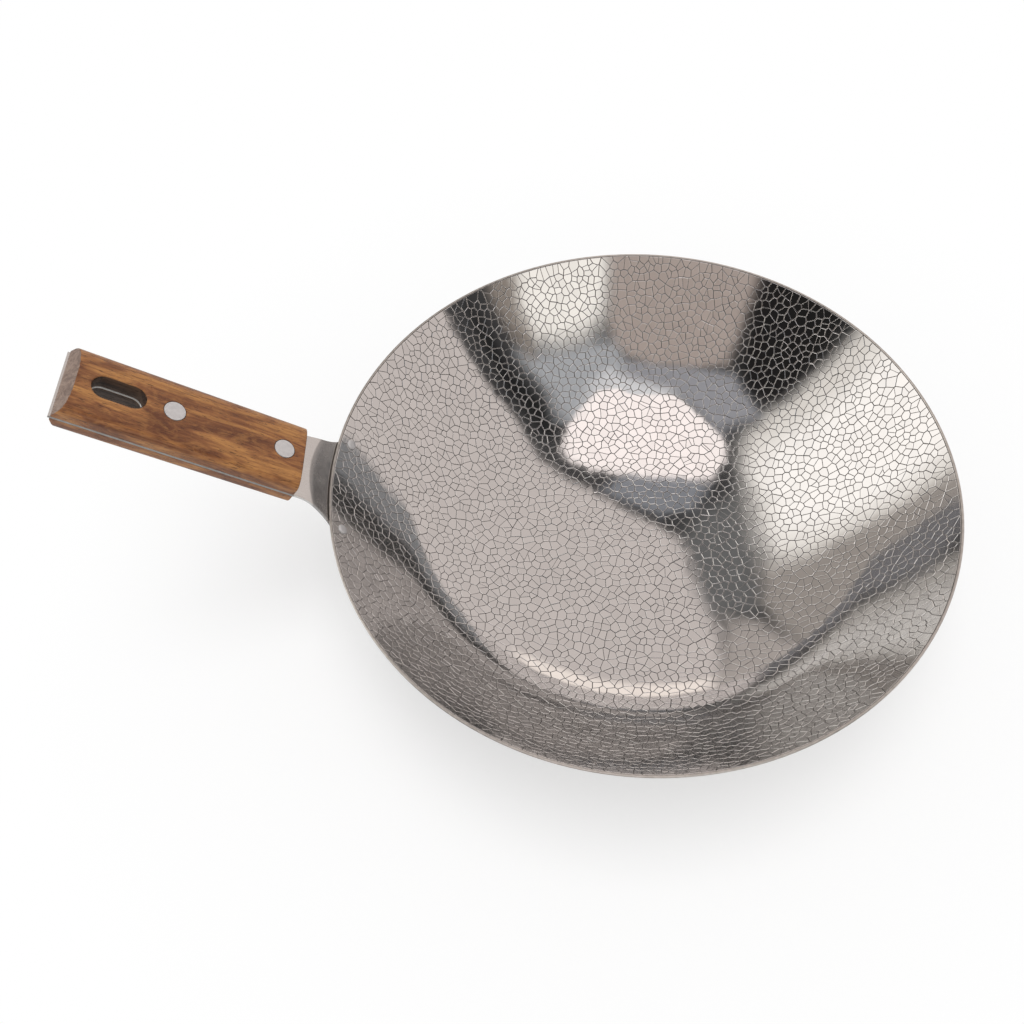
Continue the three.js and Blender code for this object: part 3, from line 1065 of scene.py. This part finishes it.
def scale(name, side):
    body = scale_body(name, side)
    mouth = [(slot_outline(grow * MM), crown - drop * MM) for grow, drop in mouth_steps]
    cutters = [stacked("slot_cutter", layers_for(side, *mouth), slot_at)]
    ring = circle(seat_radius)
    for at in rivets_at:
        heights = layers_for(side, (ring, crown - seat_depth), (ring, crown + seat_top))
        cutters.append(stacked("seat_cutter", heights, at))
    cut(body, *cutters)
    smooth(body, 38)
    finish_with(body, side_grain, end_grain, slot_shade_grain)
    butt = wood_start + wood_length - butt_bevel - butt_margin
    for face in body.data.polygons:
        at, facing = to_handle @ face.center, to_handle.to_3x3() @ face.normal
        in_length = abs(at.x - slot_at) <= slot_reach + slot_half + slot_margin
        in_slot = in_length and abs(at.y) <= slot_half + slot_margin
        if (facing.x > butt_facing and at.x > butt) or (facing.x < front_facing and at.x < wood_start + MM):
            face.material_index = 1
        # the walls of the slot take the wood that is painted dark as painted shade
        elif in_slot and abs(facing.z) < level_facing:
            face.material_index = 2
    return body


upper_scale = scale("upper_wood", 1)
lower_scale = scale("lower_wood", -1)
print("scales", triangles(upper_scale), "and", triangles(lower_scale), "triangles")

# %% [markdown]
# ## Rivets
# The handle has two press rivets, each with a flat head above and below, and the flange has two small domed ones
# with a head inside the pan and one outside. All eight heads are the same turned form with other numbers, so one
# geometry tree makes a head from a disc, ring by ring, and sets it on a point along that point's own axis.

# %% Tree of a rivet head
rivet, given, result, rivet_names = open_tree(
    "Rivet head",
    "GeometryNodeTree",
    "Geometry Points, Float Radius, Float Side, Float Crown, Float Flatness, Material Finish",
    "Geometry Heads",
)
disc = output("MeshCircle", 48, given["Radius"], fill_type="NGON")
underside = output("FlipFaces", disc)
head, top, _ = raised(disc, True, given["Side"])
power = calc("DIVIDE", 2.0, given["Flatness"])
rings = [0, 20, 40, 58, 72, 82]
wide = [calc("POWER", math.cos(math.radians(ring)), power) for ring in rings]
tall = [calc("POWER", math.sin(math.radians(ring)), power) for ring in rings]
for i in range(1, len(rings)):
    step_up = calc("MULTIPLY", calc("SUBTRACT", tall[i], tall[i - 1]), given["Crown"])
    head, top, _ = raised(head, top, step_up)
    head = output("ScaleElements", head, top, calc("DIVIDE", wide[i], wide[i - 1]))
closed = node("JoinGeometry")
for part in (head, underside):
    wire(closed.inputs[0], part)
closed = output("MergeByDistance", closed.outputs[0], Distance=1e-6)
axis = named("axis", "FLOAT_VECTOR")
aimed = output("AlignRotationToVector", axis="Z", Vector=axis)
placed = output("InstanceOnPoints", given["Points"], Instance=closed, Rotation=aimed)
solid = output("RealizeInstances", placed)
wire(result["Heads"], painted(solid, True, given["Finish"]))
print("rivet tree:", len(rivet.nodes), "nodes")

# %% Set the rivets
handle_head = {"Radius": 4.5 * MM, "Side": 1.75 * MM, "Crown": 0.3 * MM, "Flatness": 5}
wall_head = {"Radius": 2.4 * MM, "Side": 0.3 * MM, "Crown": 0.5 * MM, "Flatness": 3.0}
head_sink, wall_sink, outer_sink = 1.9 * MM, 0.1 * MM, 0.05 * MM
rivet_drop, rivet_angle = 6.5 * MM, math.radians(10)


def heads(name, places, form):
    mesh = mesh_of(name + "_points", [p for p, _ in places], [])
    axis = mesh.attributes.new("axis", "FLOAT_VECTOR", "POINT")
    for item, (_, direction) in zip(axis.data, places):
        item.vector = direction
    made = grown(name, mesh, rivet, rivet_names, {**form, "Finish": rivet_alloy})
    smooth(made, 50)
    return made


def on_handle(side):
    direction = handle_turn.to_matrix() @ Vector((0, 0, side))
    return [(handle_matrix @ Vector((at, 0, side * (crown - head_sink))), direction) for at in rivets_at]


def on_wall(depth, facing):
    places = []
    radius, height, slope = wall(rim_length - rivet_drop)
    for angle in (math.pi + rivet_angle, math.pi - rivet_angle):
        across = Vector((math.cos(angle), math.sin(angle), 0))
        inner = Vector((0, 0, math.cos(slope))) - across * math.sin(slope)
        places.append((across * radius + Vector((0, 0, height)) - inner * depth, inner * facing))
    return places


caps = heads("handle_rivet_caps", on_handle(1), handle_head)
pins = heads("handle_rivet_pins", on_handle(-1), handle_head)
wall_places = on_wall(wall_sink, 1) + on_wall(sheet + seat + plate - outer_sink, -1)
wall_rivets = heads("wall_rivets", wall_places, wall_head)
print("rivet heads", triangles(caps) + triangles(pins) + triangles(wall_rivets), "triangles")

# %% [markdown]
# ## Join the pieces to the frame
# Each finished piece rides on the one body of the pan and replaces the solid that it stands for.

# %% Frame calls
for piece, slot, *nodes in (
    (shell, "bowl_steel", "bowl"),
    (cells, "bowl_steel", "bowl"),
    (bracket, "bracket_steel", "bracket"),
    (upper_scale, "handle_wood", "upper_scale"),
    (lower_scale, "handle_wood", "lower_scale"),
    (caps, "rivet_alloy", "rivet_front_cap", "rivet_rear_cap"),
    (pins, "rivet_alloy", "rivet_front_pin", "rivet_rear_pin"),
    (wall_rivets, "rivet_alloy", "bowl_rivet_near", "bowl_rivet_far"),
):
    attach(piece, "root")
    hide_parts(*nodes)
    print(piece.name, "stands for", ", ".join(nodes), "-", triangles(piece), "triangles")

# %% [markdown]
# ## Studio
# Bright metal shows the room more than itself, so the room is set up as a photographer would: a white floor, soft
# light from above, and round it a room of panels, a soft box overhead, a pale wall on each side and dark gaps
# between them. The panels are painted on one dome that shows in reflections only. The floor is clear from below, so
# that the underside of the pan can be looked at.

# %% Floor
floor_reach, floor_level = 4, -0.0003
near_pan, far_from_pan = 0.17, 0.30


def seen_or_mirrored():
    path = node("LightPath").outputs
    mirrored = calc("MAXIMUM", path["Is Glossy Ray"], path["Is Transmission Ray"])
    return calc("MAXIMUM", path["Is Camera Ray"], mirrored)


floor_corners = [(x * floor_reach, y * floor_reach, floor_level) for x, y in ((-1, -1), (1, -1), (1, 1), (-1, 1))]
floor = put("floor", mesh_of("floor", floor_corners, [(0, 1, 2, 3)]))
white_floor = bpy.data.materials.new("white_floor")
open_nodes(white_floor).clear()
distance = vector_calc("LENGTH", node("TexCoord").outputs["Object"])
white_share = calc("MULTIPLY", seen_or_mirrored(), ramp(distance, near_pan, far_from_pan, 0.5, 1.0))
matt = output("BsdfDiffuse", (0.96, 0.96, 0.96, 1))
glow = output("Emission", (1, 1, 1, 1), 1.0)
top_side = output("MixShader", white_share, matt, glow)
from_below = node("NewGeometry").outputs["Backfacing"]
clear = output("BsdfTransparent")
node("OutputMaterial", output("MixShader", from_below, top_side, clear))
finish_with(floor, white_floor)
print("floor laid")

# %% World
world = bpy.data.worlds.new("white_room")
scene.world = world
background = open_nodes(world)["Background"]
feed(background, Color=(1, 1, 1, 1), Strength=calc("MULTIPLY_ADD", seen_or_mirrored(), 0.45, 0.55))
print("world set")

# %% Overhead lamp
watts_per_area = 9.6
lamp = bpy.data.lights.new("overhead_lamp", "AREA")
lamp.shape = "RECTANGLE"
lamp.size, lamp.size_y = 2.6, 3.6
lamp.energy = watts_per_area * lamp.size * lamp.size_y
overhead = bpy.data.objects.new("overhead_lamp", lamp)
overhead.location = (0.1, -0.2, 4)
overhead.visible_camera = False
overhead.visible_glossy = False
scene.collection.objects.link(overhead)
print("lamp", round(lamp.size, 2), "by", round(lamp.size_y, 2), "m,", round(lamp.energy, 1), "W")

# %% [markdown]
# The panels are drawn as they look from the middle of the pan: the middle of the drawing is straight overhead, x runs
# to the right-hand side of the room and y to its far side, both in degrees. Each panel is an outline with a light of
# its own and an edge that is sharp or soft; a later one lies over an earlier one.

# %% Panels
dark_room = (0.06, 0.059, 0.06)
panels = [
    ("pale wall", (0.735, 0.665, 0.635), 2.2, [
        (-7, 110), (-5.2, 55), (-5.6, 45), (-4.2, 36), (-3.6, 30.5), (0, 27.5), (5, 23.5), (8, 20.8), (12, 17.6),
        (16, 14.6), (20, 11), (25, 4.5), (30, -2), (35, -8), (42, -15), (50, -20), (58, -25), (72, -32), (110, -44),
        (110, 110)]),
    ("pale wall's bright foot", (1.18, 1.06, 0.98), 5, [
        (-4, 68), (6, 66), (14, 64.5), (22, 63.5), (27, 64), (30, 72), (24, 84), (-4, 90)]),
    ("door", (0.50, 0.45, 0.42), 4, [
        (-7.5, 47), (-12, 50), (-18, 59), (-26, 73), (-40, 110), (-6, 110), (-5.6, 55)]),
    ("shaded wall", (0.40, 0.36, 0.33), 4, [
        (-13, 45), (-14, 36), (-30, 38), (-60, 41), (-110, 41), (-110, 110), (-40, 110), (-27, 76), (-20, 59)]),
    ("gap", (0.17, 0.17, 0.17), 5, [
        (-13.5, 20), (-7, 24), (-3.5, 30), (-5, 46), (-12, 47), (-14, 36)]),
    ("bright wall", (0.98, 0.93, 0.87), 8, [
        (-17.5, 13), (-16, 22), (-15.5, 32), (-17, 37), (-30, 40), (-50, 43), (-72, 50), (-110, 56), (-110, -22),
        (-68, -15.5), (-52, -14.5), (-42, -10.5), (-33, -4.5), (-27, -0.5), (-22, 5)]),
    ("bright wall's middle", (1.36, 1.31, 1.26), 14, [
        (-20, 15), (-20, 31), (-40, 35), (-70, 42), (-110, 44), (-110, -6), (-70, -4), (-48, -2), (-34, 4)]),
    ("grey side", (0.38, 0.38, 0.41), 7, [
        (-17, 2), (-20, -2), (-27, -6), (-37, -9), (-36, -29), (-20, -35), (-6, -38), (6, -40), (6, -22), (-8, -20),
        (-12, -18), (-15, -10)]),
    ("dark core", (0.018, 0.018, 0.018), 6, [
        (18, 4), (22, 2), (30, -8), (37, -16), (45, -22), (52, -29), (60, -36), (55, -37), (45, -31), (36, -24),
        (28, -16), (21, -5)]),
    ("ceiling strip", (0.29, 0.30, 0.33), 2.5, [
        (-9.5, 17), (-6, 23), (0, 24), (5, 21), (9, 18), (4, 14), (-4, 14)]),
    ("grey corner", (0.50, 0.515, 0.54), 7, [
        (13, -3), (18, -3), (23, -12), (28, -22), (35, -30), (43, -36), (28, -43), (15, -47), (5, -48), (3, -36),
        (7, -26)]),
    ("brown wall", (0.51, 0.43, 0.39), 6, [
        (-40, -43), (-34, -35), (-20, -35), (-6, -37), (2, -42), (9, -50), (10, -64), (2, -90), (-40, -100),
        (-52, -60)]),
    ("dark corner", (0.018, 0.017, 0.017), 9, [
        (-64, -18), (-46, -15), (-38, -19), (-37, -27), (-39, -36), (-41, -44), (-47, -54), (-70, -62), (-90, -44)]),
    ("wall beside the window", (0.33, 0.285, 0.25), 6, [
        (38, -37), (45, -39), (51, -42), (60, -54), (56, -70), (40, -66), (36, -44)]),
    ("window", (1.22, 1.17, 1.10), 8, [
        (11, -53), (18, -48), (28, -44), (36, -42), (42, -46), (45, -60), (30, -76), (14, -80), (10, -62)]),
    ("soft box's low end", (0.85, 0.85, 0.87), 9, [
        (-13, -6), (13, -6), (14, -26), (9, -34), (3, -30), (-4, -25), (-10, -22)]),
    ("soft box", (1.36, 1.24, 1.205), 1.0, [
        (-10, 16.3), (-2, 15), (5, 14.5), (10.5, 13), (15.4, 10.3), (16, 0), (15, -10), (11.5, -21), (5, -22),
        (1.5, -18), (-5, -18), (-11, -18), (-14, -10), (-16.4, 0), (-16.4, 6), (-14.4, 10.2)]),
]


def soft_share(outline, edge, spots):
    """How far each spot lies inside an outline: 0 outside, 1 inside, soft over the width of the edge."""
    corners = np.array(outline, dtype=float)
    inside, nearest = np.zeros(len(spots), dtype=bool), np.full(len(spots), 1e9)
    for a, b in zip(corners, np.roll(corners, -1, axis=0)):
        along = b - a
        part = np.clip(((spots - a) @ along) / (along @ along), 0, 1)
        nearest = np.minimum(nearest, np.linalg.norm(spots - a - part[:, None] * along, axis=1))
        crosses = (a[1] > spots[:, 1]) != (b[1] > spots[:, 1])
        at = a[0] + (spots[:, 1] - a[1]) / (along[1] if along[1] else 1e-9) * along[0]
        inside ^= crosses & (spots[:, 0] < at)
    share = np.clip(0.5 + np.where(inside, nearest, -nearest) / edge, 0, 1)
    return (share * share * (3 - 2 * share))[:, None]


print(len(panels), "panels:", ", ".join(name for name, *_ in panels))

# %% Dome of panels
dome_radius, panel_strength = 5, 1.28
turns, tilts = 240, np.arange(0.5, 97, 1)
turn, tilt = (a.reshape(-1) for a in np.meshgrid(2 * np.pi * np.arange(turns) / turns, tilts))
spots = np.stack([tilt * np.cos(turn), tilt * np.sin(turn)], 1)
light = np.tile(np.array(dark_room), (len(spots), 1))
for _, colour, edge, outline in panels:
    share = soft_share(outline, edge, spots)
    light = light * (1 - share) + np.array(colour) * share
tilt = np.radians(tilt)
dome_points = dome_radius * np.stack([np.sin(tilt) * np.cos(turn), np.sin(tilt) * np.sin(turn), np.cos(tilt)], 1)
dome_faces = [tuple(range(turns))[::-1]] + ring_faces(len(tilts), turns)
dome = put("studio_panels", mesh_of("studio_panels", dome_points, dome_faces))
paint = dome.data.attributes.new("panel_light", "FLOAT_COLOR", "POINT")
paint.data.foreach_set("color", np.concatenate([light, np.ones((len(light), 1))], 1).reshape(-1))
print("dome of", len(dome_faces), "faces")

# %% Glow of the panels
panel_glow = bpy.data.materials.new("panel_glow")
open_nodes(panel_glow).clear()
glow_colour = node("Attribute", attribute_name="panel_light").outputs["Color"]
node("OutputMaterial", output("Emission", glow_colour, panel_strength))
finish_with(dome, panel_glow)
dome.visible_camera = False
dome.visible_diffuse = False
dome.visible_shadow = False
print("the panels show in reflections only")
